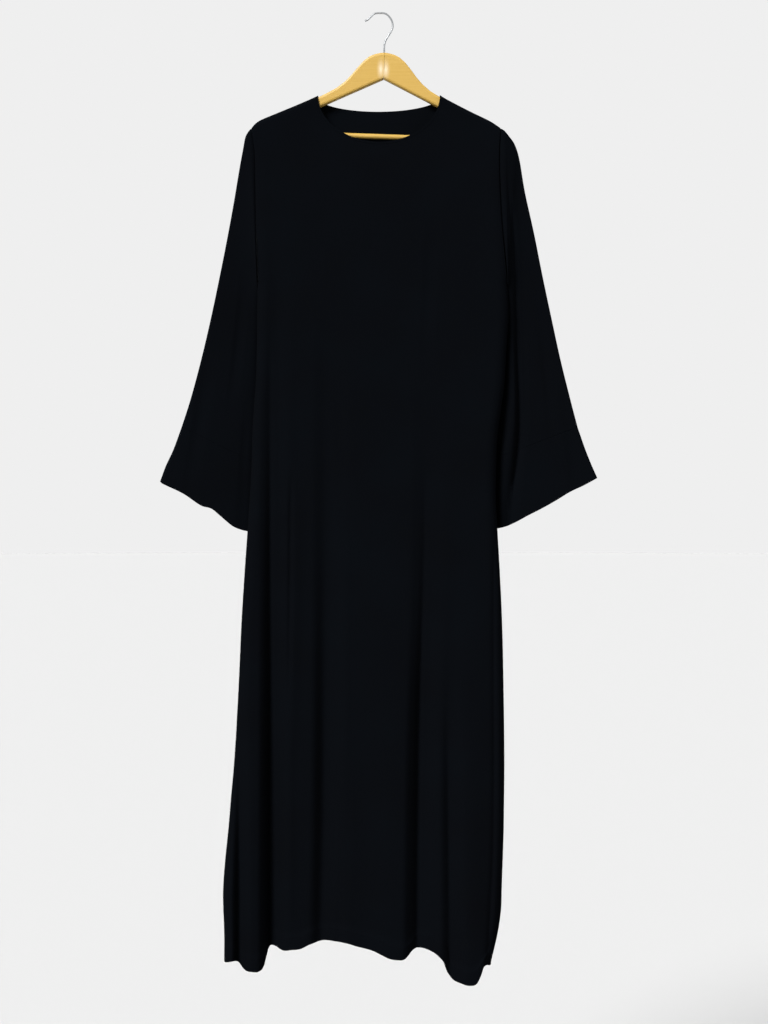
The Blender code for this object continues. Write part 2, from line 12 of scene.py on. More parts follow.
import bmesh
import bpy
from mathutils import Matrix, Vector


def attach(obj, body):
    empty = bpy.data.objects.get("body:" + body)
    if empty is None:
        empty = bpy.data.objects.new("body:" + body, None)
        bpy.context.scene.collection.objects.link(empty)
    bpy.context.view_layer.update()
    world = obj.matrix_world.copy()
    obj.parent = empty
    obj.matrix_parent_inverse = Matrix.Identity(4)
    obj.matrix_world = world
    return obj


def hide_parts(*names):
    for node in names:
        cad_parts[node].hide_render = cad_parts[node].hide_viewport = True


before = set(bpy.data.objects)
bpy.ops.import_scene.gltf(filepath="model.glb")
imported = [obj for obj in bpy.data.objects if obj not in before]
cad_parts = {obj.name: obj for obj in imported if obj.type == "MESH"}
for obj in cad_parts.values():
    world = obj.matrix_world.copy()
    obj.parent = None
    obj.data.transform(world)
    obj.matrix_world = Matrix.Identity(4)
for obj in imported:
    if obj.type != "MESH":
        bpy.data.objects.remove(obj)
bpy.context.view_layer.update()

MM = 0.001
BODY = "root"

# Cloth, the gaps at its seams, and the flat strips beside them
CLOTH = 0.8
SEAM_GAP = 0.3
SLEEVE_GAP = 0.4
SEAM_STRIP = 2.0
ARMHOLE_STRIP = 1.5

# Hem band, which stands proud of the cloth above it
HEM_BAND = 24.0
HEM_RAISE = 0.5

# Stitches: length, pitch, thread, how far they stand proud, and their place below the
# neck's edge and, as a share of the hem band, below the band's top
STITCH = 2.6
STITCH_PITCH = 3.4
STITCH_RADIUS = 0.28
STITCH_PROUD = 0.1
NECK_STITCH_DOWN = 4.0
HEM_STITCH_SHARE = 0.12

# Neck, an ellipse cut lower in front than at the back. Columns of the cloth start on it at
# these angles in degrees, and lean outwards most at its two points.
NECK_CENTRE_X = -3.4
NECK_HALF_WIDTH = 104.0
FRONT_NECK_DEPTH = 80.4
BACK_NECK_DEPTH = 25.0
NECK_ANGLES = (2.4, 5.5, 10, 20, 33, 47, 61, 75)
NECK_POINT_LEAN = 45.0
NECK_ROUNDING = 0.001

# The roll of the cloth over the hanger, and where it turns down past the right arm's end
SHOULDER_HALF_DEPTH = 9.5
SHOULDER_ROLL = 9.0
CLOTH_ON_ARM = 2.5
ARM_END_TURN = ((-215, 188.5), (-206, 182.3))

# Underarm, the least half depth of a sleeve, and the share of the body's width that turns
# back towards each side seam, with the angles of its columns
UNDERARM_DROP = 463.0
UNDERARM_ARCH = 60.0
UNDERARM_GAP = 1.2
SLEEVE_LEAST_DEPTH = 1.5
SIDE_ROLL = 0.045
SIDE_ROLL_ANGLES = (30, 60, 90)

# A fold with a half width under PINCHED comes to a sharp line. A wider one is a round
# trough, and its wall towards the wearer's left is LONG_WALL times as long as the other.
PINCHED = 10.0
PINCH_POWER = 1.6
LONG_WALL = 1.5

# Rows and columns of a body panel
SHOULDER_COLUMNS = 5
COLUMN_PARTS = 6
ROLL_ANGLES = range(10, 91, 10)
CHEST_ROWS = 60
SKIRT_ROWS = 90

# Rows near the skirt's ends, at shares of the way from the underarm to the hem: the first
# row, the step onto the hem band, the last row before the edge; and shares of the band
FIRST_SKIRT_SHARE = 0.002
BAND_STEP = 0.0012
LAST_SKIRT_SHARE = 0.9985
BAND_ROWS = (0.35, 0.7)

# Hanger
HANGER_CENTRE_X = 5.5
HANGER_CENTRE_DROP = 88.9
HANGER_TILT = math.radians(1.9)

# Side edges of the body: armhole seam down to the underarm, then side seam
Side = namedtuple("Side", "drop right_x left_x")
SIDES = [
    Side(195.5, -221, 204),
    Side(238, -215, 202),
    Side(296, -214, 203),
    Side(363, -213, 207),
    Side(463, -211, 216),
    Side(518, -212, 218),
    Side(561, -212, 215),
    Side(629, -214, 211),
    Side(669, -217, 206),
    Side(720, -220, 199),
    Side(769, -221, 197),
    Side(821, -224, 196),
    Side(882, -228, 199),
    Side(934, -231.7, 202),
    Side(1036, -238.2, 206.9),
    Side(1146, -243.2, 209.4),
    Side(1272, -250.4, 210.9),
    Side(1342, -256.6, 210.4),
    Side(1395, -261, 209.7),
    Side(1447, -266.4, 208),
    Side(1498, -269.9, 206.3),
    Side(1530, -269.5, 205.3),
    Side(1570, -268, 199.7),
    Side(1620, -268, 188),
]

# How far the body stands before and behind the side seams
Depth = namedtuple("Depth", "drop front back")
DEPTHS = [
    Depth(139, 9.5, 9.5),
    Depth(200, 10, 10),
    Depth(300, 14, 11.5),
    Depth(460, 16, 12.5),
    Depth(800, 18, 13.5),
    Depth(1200, 23, 17),
    Depth(1620, 28, 22),
]

# Hem lines, along the width
Hem = namedtuple("Hem", "x drop")
FRONT_HEM = [
    Hem(-268, 1618),
    Hem(-247, 1614),
    Hem(-233, 1627),
    Hem(-220, 1629),
    Hem(-206, 1629),
    Hem(-198, 1621),
    Hem(-193, 1596),
    Hem(-184, 1591),
    Hem(-170, 1596),
    Hem(-154, 1594),
    Hem(-138, 1592),
    Hem(-124, 1585),
    Hem(-100, 1580),
    Hem(-87, 1580),
    Hem(-61, 1583),
    Hem(-44, 1588),
    Hem(-19, 1594),
    Hem(-2, 1601),
    Hem(12, 1607),
    Hem(24, 1609),
    Hem(39, 1608),
    Hem(50, 1596),
    Hem(64, 1593),
    Hem(78, 1596),
    Hem(92, 1603),
    Hem(107, 1617),
    Hem(113, 1633),
    Hem(122, 1645),
    Hem(139, 1650),
    Hem(150, 1652),
    Hem(162, 1649),
    Hem(169, 1636),
    Hem(175, 1621),
    Hem(188, 1623),
]
BACK_HEM = [
    Hem(-268, 1618),
    Hem(-230, 1600),
    Hem(-180, 1583),
    Hem(-110, 1573),
    Hem(-60, 1568),
    Hem(0, 1578),
    Hem(50, 1580),
    Hem(110, 1592),
    Hem(150, 1610),
    Hem(188, 1623),
]

# Folds and smaller creases: half the width, and a path down the cloth with the trough's
# depth, which is below zero where the cloth stands out as a ridge
Fold = namedtuple("Fold", "half_width path")
FoldPoint = namedtuple("FoldPoint", "drop x depth")
FRONT_FOLDS = [
    Fold(14, [FoldPoint(1150, -241, 0), FoldPoint(1400, -241, 8), FoldPoint(1620, -241, 12)]),
    Fold(22, [FoldPoint(600, -224, 0), FoldPoint(1100, -222, -3), FoldPoint(1620, -219, -7)]),
    Fold(23, [FoldPoint(450, -187, 0), FoldPoint(900, -186, 9), FoldPoint(1380, -186, 20),
              FoldPoint(1620, -186, 21)]),
    Fold(26, [FoldPoint(480, -93, 0), FoldPoint(820, -93, 6), FoldPoint(1280, -95, 14),
              FoldPoint(1600, -99, 12)]),
    Fold(60, [FoldPoint(900, 15, 0), FoldPoint(1350, 18, -4), FoldPoint(1620, 22, -7)]),
    Fold(28, [FoldPoint(640, 78, 0), FoldPoint(1001, 74, 8), FoldPoint(1250, 67, 17),
              FoldPoint(1620, 62, 17)]),
    Fold(18, [FoldPoint(1080, 114, 0), FoldPoint(1300, 115, 5), FoldPoint(1600, 118, 7)]),
    Fold(36, [FoldPoint(900, 150, 0), FoldPoint(1300, 150, -5), FoldPoint(1620, 150, -9)]),
]
FRONT_CREASES = [
    Fold(9.5, [FoldPoint(520, -189, 0), FoldPoint(820, -189, 4), FoldPoint(1060, -190, 7),
               FoldPoint(1300, -190, 9), FoldPoint(1610, -189, 8)]),
    Fold(14, [FoldPoint(520, -160, 0), FoldPoint(1000, -161, -1.5), FoldPoint(1610, -160, -2)]),
    Fold(13, [FoldPoint(900, -99, 0), FoldPoint(1120, -99, 1.5), FoldPoint(1380, -101, 3),
              FoldPoint(1580, -104, 2)]),
    Fold(9.5, [FoldPoint(760, 75, 0), FoldPoint(900, 74, 2), FoldPoint(1050, 70, 3.5),
               FoldPoint(1250, 64, 5), FoldPoint(1600, 61, 4.5)]),
    Fold(16, [FoldPoint(700, 96, 0), FoldPoint(1100, 92, -1.5), FoldPoint(1600, 84, -2)]),
    Fold(8, [FoldPoint(1230, -242, 0), FoldPoint(1420, -241, 3), FoldPoint(1600, -241, 3)]),
    Fold(8, [FoldPoint(1180, 113, 0), FoldPoint(1400, 115, 2.5), FoldPoint(1600, 117, 2)]),
    Fold(7, [FoldPoint(785, -152.5, 0), FoldPoint(830, -153.5, 3.2), FoldPoint(1060, -155.5, 3.2),
             FoldPoint(1180, -157.5, 0)]),
    Fold(11, [FoldPoint(780, -146, 0), FoldPoint(900, -145, -1.6), FoldPoint(1120, -147, -1.4),
              FoldPoint(1300, -150, 0)]),
    Fold(9, [FoldPoint(860, 196, 0), FoldPoint(960, 192, 3), FoldPoint(1400, 191, 4),
             FoldPoint(1610, 181, 3)]),
    Fold(14, [FoldPoint(330, 88, 0), FoldPoint(480, 80, 1.5), FoldPoint(640, 74, 0)]),
    Fold(16, [FoldPoint(560, -70, 0), FoldPoint(760, -66, 1.3), FoldPoint(960, -60, 0)]),
    Fold(20, [FoldPoint(360, -180, 0), FoldPoint(520, -176, 1.8), FoldPoint(740, -178, 0)]),
    Fold(12, [FoldPoint(1240, -60, 0), FoldPoint(1450, -66, 1.6), FoldPoint(1580, -70, 2.2)]),
    Fold(13, [FoldPoint(1350, 92, 0), FoldPoint(1500, 90, 1.6), FoldPoint(1600, 88, 2.4)]),
    Fold(10, [FoldPoint(1500, -154, 0), FoldPoint(1590, -156, 2)]),
]
BACK_FOLDS = [
    Fold(30, [FoldPoint(420, -150, 0), FoldPoint(950, -156, 5), FoldPoint(1580, -166, 11)]),
    Fold(34, [FoldPoint(380, -60, 0), FoldPoint(900, -62, 6), FoldPoint(1570, -66, 12)]),
    Fold(48, [FoldPoint(800, -10, 0), FoldPoint(1300, -12, -4), FoldPoint(1570, -14, -6)]),
    Fold(30, [FoldPoint(500, 42, 0), FoldPoint(1000, 44, 6), FoldPoint(1580, 48, 13)]),
    Fold(28, [FoldPoint(420, 120, 0), FoldPoint(900, 122, 5), FoldPoint(1600, 128, 10)]),
]
BACK_CREASES = [
    Fold(7, [FoldPoint(820, 92, 0), FoldPoint(930, 94, 2.4), FoldPoint(1120, 97, 2),
             FoldPoint(1260, 99, 0)]),
    Fold(13, [FoldPoint(330, -120, 0), FoldPoint(470, -114, 1.5), FoldPoint(650, -112, 0)]),
    Fold(16, [FoldPoint(600, 10, 0), FoldPoint(790, 6, 1.4), FoldPoint(1000, 3, 0)]),
    Fold(9, [FoldPoint(1180, -205, 0), FoldPoint(1400, -210, 3), FoldPoint(1600, -214, 3)]),
    Fold(12, [FoldPoint(1300, 84, 0), FoldPoint(1480, 86, 1.8), FoldPoint(1600, 88, 2.2)]),
    Fold(20, [FoldPoint(340, 170, 0), FoldPoint(520, 166, 1.6), FoldPoint(700, 168, 0)]),
]
SLEEVE_FOLDS = {
    "right": [
        Fold(11, [FoldPoint(420, -232, 0), FoldPoint(560, -246, 1.6), FoldPoint(700, -262, 0)]),
        Fold(15, [FoldPoint(560, -292, 0), FoldPoint(690, -312, 1.8), FoldPoint(800, -330, 0.8)]),
        Fold(9, [FoldPoint(640, -228, 0), FoldPoint(760, -236, 1.8), FoldPoint(880, -240, 1.2)]),
    ],
    "left": [
        Fold(12, [FoldPoint(420, 230, 0), FoldPoint(560, 236, 2.5), FoldPoint(684, 239, 4),
                  FoldPoint(774, 231, 4), FoldPoint(860, 221, 2)]),
        Fold(18, [FoldPoint(300, 214, 0), FoldPoint(488, 220, -5), FoldPoint(684, 222, -7),
                  FoldPoint(774, 212, -6), FoldPoint(860, 204, -3)]),
        Fold(12, [FoldPoint(480, 268, 0), FoldPoint(620, 284, 1.7), FoldPoint(760, 298, 0)]),
        Fold(14, [FoldPoint(640, 312, 0), FoldPoint(740, 326, 1.8), FoldPoint(830, 334, 0.6)]),
        Fold(8, [FoldPoint(250, 214, 0), FoldPoint(330, 220, 1.6), FoldPoint(430, 228, 0)]),
        Fold(8, [FoldPoint(300, 222, 0), FoldPoint(407, 229, 3.5), FoldPoint(560, 233.5, 5),
                 FoldPoint(733, 235.5, 6.5), FoldPoint(852, 218.5, 5)]),
        Fold(9, [FoldPoint(600, 222, 0), FoldPoint(700, 214, 1.5), FoldPoint(761, 198, 3)]),
    ],
}

# Sleeve rings: the outer fold, the inner fold beside the body, and how far the flat
# tube is set back behind the body
Ring = namedtuple("Ring", "outer_x outer_drop inner_x inner_drop centre_y")
SLEEVE_RINGS = {
    "right": [
        Ring(-227, 202, -212, 466, 0.3),
        Ring(-232, 211, -211.3, 467, 2.8),
        Ring(-236, 230, -210.3, 474, 5.5),
        Ring(-243, 266, -209.3, 489, 9.5),
        Ring(-253, 323, -208.7, 517, 13.5),
        Ring(-266, 391, -208.3, 553, 17),
        Ring(-282.6, 472, -208, 594, 19.5),
        Ring(-297.4, 540, -208, 638, 20),
        Ring(-312.4, 602, -209, 683, 20),
        Ring(-327.9, 659, -211, 728, 20),
        Ring(-342.7, 705, -213, 769, 20),
    ],
    "left": [
        Ring(211, 200, 217, 466, 0.3),
        Ring(219, 209, 216.3, 467, 2.8),
        Ring(229, 223, 215.6, 474, 5.5),
        Ring(237.3, 248, 215.3, 489, 9.5),
        Ring(247, 303, 214.6, 517, 13.5),
        Ring(262.5, 371, 212, 553, 17),
        Ring(278, 447, 208.5, 594, 19.5),
        Ring(294.6, 525, 204, 638, 20),
        Ring(309, 591, 198, 683, 20),
        Ring(324.4, 653, 192, 725, 20),
        Ring(338.2, 706, 189, 762, 20),
    ],
}
CUFF_RINGS = {
    "right": [
        Ring(-357, 744, -214, 809, 20),
        Ring(-370, 772, -216, 848, 20),
        Ring(-380, 799, -218, 888, 20),
    ],
    "left": [
        Ring(350, 740, 188, 802, 20),
        Ring(361, 768, 188, 841, 20),
        Ring(372, 793, 189, 877, 20),
    ],
}
# How far a cuff's lower edge sags below the straight line, at shares from its outer fold
Sag = namedtuple("Sag", "share down")
CUFF_SAG = {
    "right": [
        Sag(0, 0), Sag(0.03, 1.4), Sag(0.25, -1), Sag(0.44, 2.6), Sag(0.55, -1.8),
        Sag(0.64, 2), Sag(0.77, 8), Sag(0.86, 6.5), Sag(0.94, 2.5), Sag(1, 0),
    ],
    "left": [
        Sag(0, 0), Sag(0.13, 2), Sag(0.26, 2.4), Sag(0.39, 6), Sag(0.53, 8.6),
        Sag(0.66, 9.8), Sag(0.75, 11.3), Sag(0.85, 11.5), Sag(0.93, 8.4), Sag(1, 5),
    ],
}
# The sag grows with this power of the way down the cuff
SAG_POWER = 1.5

# Steps from one ring of a table to the next, and how far before the last one more stands
RING_PARTS = 6
NEAR_EDGE = 0.02

# Seam allowances, from their inner edge out past the seam: place along the cloth, and how
# far in the cloth lies there. A ring that is flatter than FLAT_HALF at a point isn't pinched,
# and none is pinched below LEAST_HALF.
Turn = namedtuple("Turn", "along inset")
CUFF_TURN = [Turn(-8.0, 1.6), Turn(-0.4, 1.6), Turn(0.12, 0.0), Turn(1.0, 0.0)]
ARMHOLE_TURN = [Turn(-5.0, 1.1), Turn(-0.5, 1.1), Turn(0.1, 1.5), Turn(0.9, 1.4), Turn(1.6, 0.2)]
LEAST_HALF = 0.1
FLAT_HALF = 0.2

# Top edge of a hanger arm, from the centre line outwards: heights about its centre
Edge = namedtuple("Edge", "along height")
ARM_TOP = [
    Edge(80, -40.5),
    Edge(100, -52),
    Edge(125, -64.5),
    Edge(155, -78.5),
    Edge(185, -92),
]

# Centre line of the hook's wire, from its tip to the wood, and its end inside the wood
WIRE_RADIUS = 1.6
Wire = namedtuple("Wire", "x drop")
HOOK_WIRE = [
    Wire(-27.4, 12),
    Wire(-21.7, 9.2),
    Wire(-11.8, -0.1),
    Wire(-1, -1.4),
    Wire(7, -0.6),
    Wire(13.4, 4),
    Wire(18.4, 11.5),
    Wire(20.1, 19.3),
    Wire(19, 26),
    Wire(14.7, 34.2),
    Wire(9.2, 43),
    Wire(6.4, 50),
    Wire(5.5, 57),
    Wire(5.5, 66),
]
HOOK_END_DROP = 93.0
WIRE_PARTS = 6

# Streaks of the wood's grain in a metre: along the arms, through them and up
STREAKS_PER_METRE = (14, 600, 600)

# Painted highlights on the arms' varnish beside their joint: centres, and half sizes at the rim
JOINT_HIGHLIGHTS = ((-0.3, -7, -96), (8.4, -7, -97))
JOINT_HIGHLIGHT_SIZE = (9, 50, 24)

# What shows of each piece, laid flat: width and length in metres, area in square metres
Cut = namedtuple("Cut", "width length area")


def between(first, second, share):
    """Value at a share of the way from the first to the second."""
    return first + (second - first) * share


def through(points, at):
    """Height of the smooth curve through the points (place, height) at a place."""
    if at <= points[0][0]:
        return points[0][1]
    if at >= points[-1][0]:
        return points[-1][1]
    last = len(points) - 1
    index = max(i for i in range(last) if points[i][0] <= at)

    def slope(i):
        before, after = points[max(i - 1, 0)], points[min(i + 1, last)]
        return (after[1] - before[1]) / (after[0] - before[0])

    start, end = points[index], points[index + 1]
    span = end[0] - start[0]
    t = (at - start[0]) / span
    return (
        (2 * t**3 - 3 * t**2 + 1) * start[1]
        + (t**3 - 2 * t**2 + t) * span * slope(index)
        + (3 * t**2 - 2 * t**3) * end[1]
        + (t**3 - t**2) * span * slope(index + 1)
    )


def column_of(rows, name, at):
    """Smooth value of a table's named column, read against its first column."""
    return through([(row[0], getattr(row, name)) for row in rows], at)


def hanger_point(along, height):
    """World x and drop of a point in the hanger's own tilted axes."""
    turn_x = along * math.cos(HANGER_TILT) + height * math.sin(HANGER_TILT)
    turn_up = height * math.cos(HANGER_TILT) - along * math.sin(HANGER_TILT)
    return HANGER_CENTRE_X + turn_x, HANGER_CENTRE_DROP - turn_up


def shoulder_line():
    """Points of the cloth's shoulder line: on the arms, and past their ends."""
    points = [(SIDES[0].right_x, SIDES[0].drop), *ARM_END_TURN]
    for side, edges in ((-1, reversed(ARM_TOP)), (1, ARM_TOP)):
        for edge in edges:
            x, drop = hanger_point(side * edge.along, edge.height)
            points.append((x, drop - CLOTH_ON_ARM))
    points.append((SIDES[0].left_x, SIDES[0].drop))
    return points


SHOULDER_LINE = shoulder_line()


def ridge_drop(x):
    """Drop of the line where the cloth is highest over the hanger, also across the neck."""
    return through(SHOULDER_LINE, x)


def in_neck(x):
    """Whether a place on the upper edge is on the neck's curve."""
    return abs(x - NECK_CENTRE_X) < NECK_HALF_WIDTH - NECK_ROUNDING


def top_edge(x, neck_depth):
    """Drop of a panel's upper edge: the neck's ellipse, and the shoulders beside it."""
    if not in_neck(x):
        return ridge_drop(x)
    from_centre = (x - NECK_CENTRE_X) / NECK_HALF_WIDTH
    right = ridge_drop(NECK_CENTRE_X - NECK_HALF_WIDTH)
    left = ridge_drop(NECK_CENTRE_X + NECK_HALF_WIDTH)
    return between(right, left, (from_centre + 1) / 2) + neck_depth * math.sqrt(1 - from_centre**2)


def roll(depth_below):
    """Half depth of the cloth where it rolls over the hanger's top edge."""
    left = 1 - min(max(depth_below, 0) / SHOULDER_ROLL, 1)
    return SEAM_STRIP + (SHOULDER_HALF_DEPTH - SEAM_STRIP) * math.sqrt(1 - left**2)


def cross_section(off, half_width):
    """Share of a fold's depth at a place off its middle line: whole there, none at its rim."""
    if half_width < PINCHED:
        return (1 - off) ** PINCH_POWER
    return 0.5 * (1 + math.cos(math.pi * off))


def fold_depth(folds, x, drop):
    """How far all the folds move the cloth inwards at a point."""
    moved = 0.0
    for fold in folds:
        if drop <= fold.path[0].drop:
            continue
        aside = x - column_of(fold.path, "x", drop)
        long_wall = aside > 0 and fold.half_width >= PINCHED
        off = abs(aside) / (fold.half_width * (LONG_WALL if long_wall else 1))
        if off < 1:
            moved += column_of(fold.path, "depth", drop) * cross_section(off, fold.half_width)
    return moved


Row = namedtuple("Row", "kind amount edge")


def armhole_rows():
    """Rows from the shoulder to the underarm, with the armhole's half depth at each.

    The first rows lie a distance below the shoulder, the next at a share of the way down,
    and the last a distance above the underarm.
    """
    rows = [Row("top", 0.0, 0.0), Row("top", 0.0, SEAM_STRIP)]
    for angle in ROLL_ANGLES:
        down = SHOULDER_ROLL * (1 - math.cos(math.radians(angle)))
        rows.append(Row("top", down, roll(down)))
    for index in range(1, CHEST_ROWS):
        rows.append(Row("middle", index / CHEST_ROWS, SHOULDER_HALF_DEPTH))
    for angle in reversed(ROLL_ANGLES):
        up = UNDERARM_ARCH * (1 - math.cos(math.radians(angle)))
        rows.append(Row("bottom", up, SHOULDER_HALF_DEPTH * math.sin(math.radians(angle))))
    rows.append(Row("bottom", 0.0, 0.0))
    return rows


ARMHOLE = armhole_rows()


# Share of the way from the underarm to the hem at which the hem band starts
BAND_START = 1 - HEM_BAND / (SIDES[-1].drop - UNDERARM_DROP)


def skirt_rows():
    """Rows from the underarm to the hem, at shares of the way, closer at the hem band."""
    shares = [max(index / SKIRT_ROWS, FIRST_SKIRT_SHARE) * BAND_START
              for index in range(SKIRT_ROWS)]
    shares += [BAND_START, BAND_START + BAND_STEP]
    shares += [between(BAND_START, 1, share) for share in BAND_ROWS]
    shares += [LAST_SKIRT_SHARE, 1.0]
    return [Row("skirt", share, 0.0) for share in shares]


ROWS = ARMHOLE + skirt_rows()
Column = namedtuple("Column", "top_x lean even_share beside_seam")


def panel_columns():
    """Columns of a panel: place on the upper edge, lean there, and share lower down."""
    right_x, left_x = SIDES[0].right_x, SIDES[0].left_x
    starts = [0.0, ARMHOLE_STRIP / (left_x - right_x)]
    starts += [SIDE_ROLL * (1 - math.cos(math.radians(angle))) for angle in SIDE_ROLL_ANGLES]
    neck = [(math.cos(math.radians(angle)), NECK_POINT_LEAN * math.cos(math.radians(angle)))
            for angle in (0, *NECK_ANGLES, 90)]
    neck += [(-cosine, -lean) for cosine, lean in reversed(neck[:-1])]
    turn = (left_x - right_x) * SIDE_ROLL
    steps = [step / SHOULDER_COLUMNS for step in range(1, SHOULDER_COLUMNS)]
    neck_right, neck_left = NECK_CENTRE_X - NECK_HALF_WIDTH, NECK_CENTRE_X + NECK_HALF_WIDTH
    middle = [(between(right_x + turn, neck_right, step), 0.0) for step in steps]
    middle += [(NECK_CENTRE_X - NECK_HALF_WIDTH * cosine, lean) for cosine, lean in neck]
    middle += [(between(neck_left, left_x - turn, step), 0.0) for step in steps]

    coarse = []
    for number, share in enumerate(starts):
        even = 0.0 if number == 1 else share
        coarse.append(Column(between(right_x, left_x, share), 0.0, even, number == 1))
    for number, (x, lean) in enumerate(middle):
        even = between(SIDE_ROLL, 1 - SIDE_ROLL, (number + 1) / (len(middle) + 1))
        coarse.append(Column(x, lean, even, False))
    for number, share in reversed(list(enumerate(starts))):
        even = 1.0 if number == 1 else 1 - share
        coarse.append(Column(between(left_x, right_x, share), 0.0, even, number == 1))

    fine = [coarse[0]]
    for here, there in zip(coarse, coarse[1:]):
        parts = 1 if here.even_share == there.even_share else COLUMN_PARTS
        if here.beside_seam or there.beside_seam:
            parts = min(parts, 2)
        for part in range(1, parts):
            mixed = [between(here[i], there[i], part / parts) for i in range(3)]
            fine.append(Column(*mixed, False))
        fine.append(there)
    return fine


COLUMNS = panel_columns()


def side_place(share, drop):
    """X at a share of the body's width."""
    return between(column_of(SIDES, "right_x", drop), column_of(SIDES, "left_x", drop), share)


def along_side(column, drop):
    """X of a column that keeps its share of the width from the upper edge."""
    top = SIDES[0]
    return side_place((column.top_x - top.right_x) / (top.left_x - top.right_x), drop)


def row_drop(row, top):
    """Drop of an armhole row, below a given point of the upper edge."""
    if row.kind == "top":
        return top + row.amount
    if row.kind == "bottom":
        return UNDERARM_DROP - row.amount
    return between(top + SHOULDER_ROLL, UNDERARM_DROP - UNDERARM_ARCH, row.amount)


def side_round(share):
    """Rounding of the cloth towards a side seam: 0 at the seam and 1 past the turn."""
    inward = min(share, 1 - share) / SIDE_ROLL
    return math.sqrt(1 - (1 - min(max(inward, 0), 1)) ** 2)


Panel = namedtuple("Panel", "facing depth_name neck_depth hem folds")
PANELS = {
    "front_panel": Panel(-1, "front", FRONT_NECK_DEPTH, FRONT_HEM, FRONT_FOLDS + FRONT_CREASES),
    "back_panel": Panel(1, "back", BACK_NECK_DEPTH, BACK_HEM, BACK_FOLDS + BACK_CREASES),
}


def panel_place(panel, column, row):
    """X and drop of a panel's point."""
    top = top_edge(column.top_x, panel.neck_depth)
    lean = math.radians(column.lean)
    if row.kind == "skirt":
        end_x = between(SIDES[-1].right_x, SIDES[-1].left_x, column.even_share)
        drop = between(UNDERARM_DROP, column_of(panel.hem, "drop", end_x), row.amount)
        return side_place(column.even_share, drop), drop
    if row.kind == "top":
        drop = top + math.cos(lean) * row.amount
        return along_side(column, drop) - math.sin(lean) * row.amount, drop
    base = top + math.cos(lean) * SHOULDER_ROLL
    base_x = along_side(column, base) - math.sin(lean) * SHOULDER_ROLL
    drop = row_drop(row, base - SHOULDER_ROLL)
    if column.beside_seam and row.amount > 0:
        return along_side(column, drop), drop
    spread = (drop - base) / (UNDERARM_DROP - base)
    shift = base_x - side_place(column.even_share, base)
    return side_place(column.even_share, drop) + shift * (1 - spread), drop


def panel_point(panel, column, row, proud=0.0):
    """Outer point of a panel, or one that stands proud of it."""
    x, drop = panel_place(panel, column, row)
    right_x, left_x = side_place(0, drop), side_place(1, drop)
    across = (x - right_x) / (left_x - right_x)
    reach = column_of(DEPTHS, panel.depth_name, drop) - fold_depth(panel.folds, x, drop)
    if row.kind == "top":
        start = top_edge(column.top_x, panel.neck_depth) - ridge_drop(column.top_x)
        reach *= roll(start + row.amount) / SHOULDER_HALF_DEPTH
    at_side = column in (COLUMNS[0], COLUMNS[-1])
    edge = max(row.edge, 0.0 if at_side else SEAM_STRIP)
    depth = between(edge, reach, side_round(across))
    if row is ROWS[0] and not in_neck(column.top_x):
        depth = 0.0
    if row.kind == "skirt" and row.amount > BAND_START and not at_side:
        depth += HEM_RAISE
    least = UNDERARM_GAP if row is ARMHOLE[-1] else SEAM_GAP / 2
    return Vector((x, panel.facing * (max(depth, least) + proud), -drop)) * MM


def close_ring(half):
    """Whole ring from its half, x and depth and drop: down the front and up the back."""
    front = [(x, -depth, drop) for x, depth, drop in half]
    back = [(x, depth, drop) for x, depth, drop in reversed(half[1:-1])]
    return front + back


# A ring has one point at the shoulder, where a panel's edge has two at the same height
RING_ROWS = [ARMHOLE[0], *ARMHOLE[2:]]


def armhole_ring(side):
    """Outer points of a sleeve's first ring, on the body's armhole edge."""
    outward = -1 if side == "right" else 1
    half = []
    for row in RING_ROWS:
        drop = row_drop(row, SIDES[0].drop)
        x = column_of(SIDES, side + "_x", drop) + outward * SLEEVE_GAP
        half.append((x, row.edge, drop))
    return close_ring(half)


def sleeve_ring(ring, folds, sag, sagging):
    """Outer points of a flat ring between a sleeve's two folds, with a share of the sag."""
    half = []
    for row in RING_ROWS:
        drop = row_drop(row, SIDES[0].drop)
        part = (drop - SIDES[0].drop) / (UNDERARM_DROP - SIDES[0].drop)
        drop = between(ring.outer_drop, ring.inner_drop, part) + through(sag, part) * sagging
        half.append((between(ring.outer_x, ring.inner_x, part), row.edge, drop))
    points = []
    for x, y, drop in close_ring(half):
        if y < -SLEEVE_LEAST_DEPTH:
            y = min(y + fold_depth(folds, x, drop), -SLEEVE_LEAST_DEPTH)
        points.append((x, y + ring.centre_y, drop))
    return points


def fine_rings(rings, parts):
    """Rings with even steps put between them on smooth curves."""
    made = []
    places = [index / parts for index in range((len(rings) - 1) * parts + 1)]
    places[-1:] = [places[-1] - NEAR_EDGE, places[-1]]
    for place in places:
        values = [through([(i, ring[field]) for i, ring in enumerate(rings)], place)
                  for field in range(len(Ring._fields))]
        made.append(Ring(*values))
    return made


def tube_points(side, rings, sagging, first=None):
    """Rows of outer points of a sleeve, or of a cuff, which sags more and more to its edge."""
    rows = [first] if first else []
    for number, ring in enumerate(rings):
        sagged = sagging * (number / (len(rings) - 1)) ** SAG_POWER
        rows.append(sleeve_ring(ring, SLEEVE_FOLDS[side], CUFF_SAG[side], sagged))
    return [[Vector((x, y, -drop)) * MM for x, y, drop in row] for row in rows]


def linear(hex_colour):
    """Linear colour of an sRGB hex value."""
    values = []
    for start in (0, 2, 4):
        value = int(hex_colour[start:start + 2], 16) / 255
        values.append(value / 12.92 if value <= 0.04045 else ((value + 0.055) / 1.055) ** 2.4)
    return (*values, 1.0)


def add_node(tree, kind, settings=None, inputs=None, links=None):
    """Node with its settings, its input values and the sockets linked into it."""
    made = tree.nodes.new(kind)
    for name, value in (settings or {}).items():
        setattr(made, name, value)
    for name, value in (inputs or {}).items():
        made.inputs[name].default_value = value
    for name, socket in (links or {}).items():
        tree.links.new(socket, made.inputs[name])
    return made


